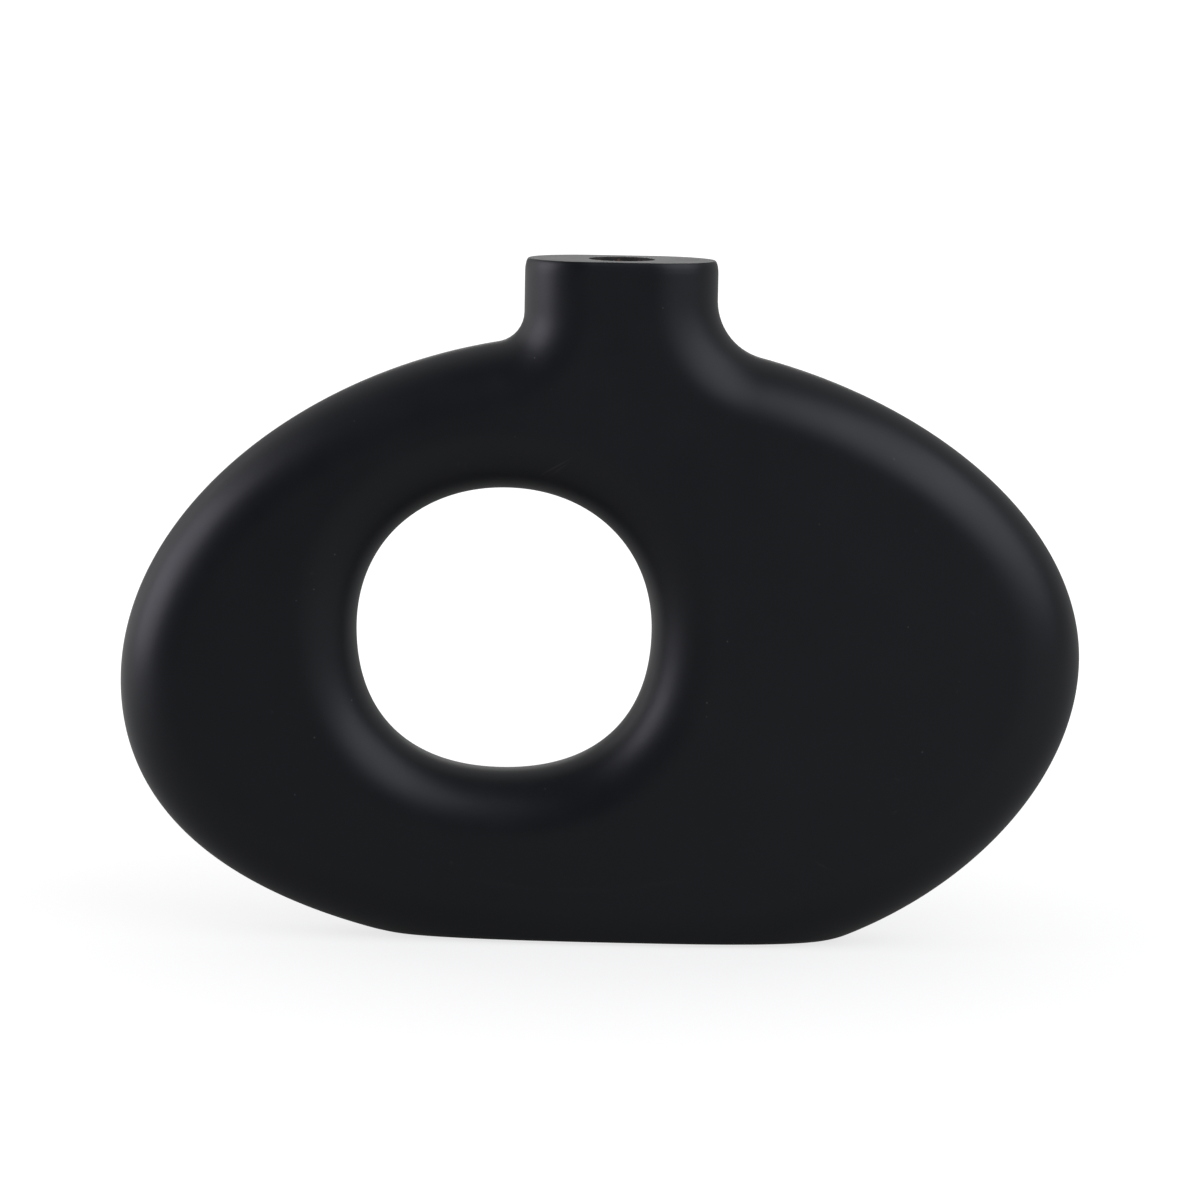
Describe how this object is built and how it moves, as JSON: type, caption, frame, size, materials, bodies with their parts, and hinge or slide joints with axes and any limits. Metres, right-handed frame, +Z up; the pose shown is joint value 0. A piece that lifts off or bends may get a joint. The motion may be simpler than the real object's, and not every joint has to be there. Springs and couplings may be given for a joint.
{
  "type": "wooden vase",
  "caption": "Flat pebble-shaped wooden vase in matt black, with a wide round opening through the body, a short off-centre neck and a lift-out glass tube for stems.",
  "frame": {"origin": "on the surface the vase stands on, under the middle of its width and of its thickness", "axes": "+X to the right along the width seen from the front, +Y from the front face to the back face, +Z up"},
  "size_m": [0.3, 0.036, 0.214],
  "materials": {
    "black_lacquered_wood": "matte",
    "clear_glass": "gloss",
    "beech": "matte",
    "black_felt": "matte"
  },
  "bodies": {
    "vase": {"front_half": "black_lacquered_wood", "back_half": "black_lacquered_wood", "dowel_left": "beech", "dowel_right": "beech", "dowel_lower": "beech", "dowel_upper": "beech", "felt_pad_front_left": "black_felt", "felt_pad_front_right": "black_felt", "felt_pad_back_left": "black_felt", "felt_pad_back_right": "black_felt"},
    "tube": {"glass_tube": "clear_glass"}
  },
  "joints": [
    {"name": "tube_lift", "type": "slide", "parent": "vase", "child": "tube", "axis": [0, 0, 1], "range_m": [0, 0.065]}
  ]
}
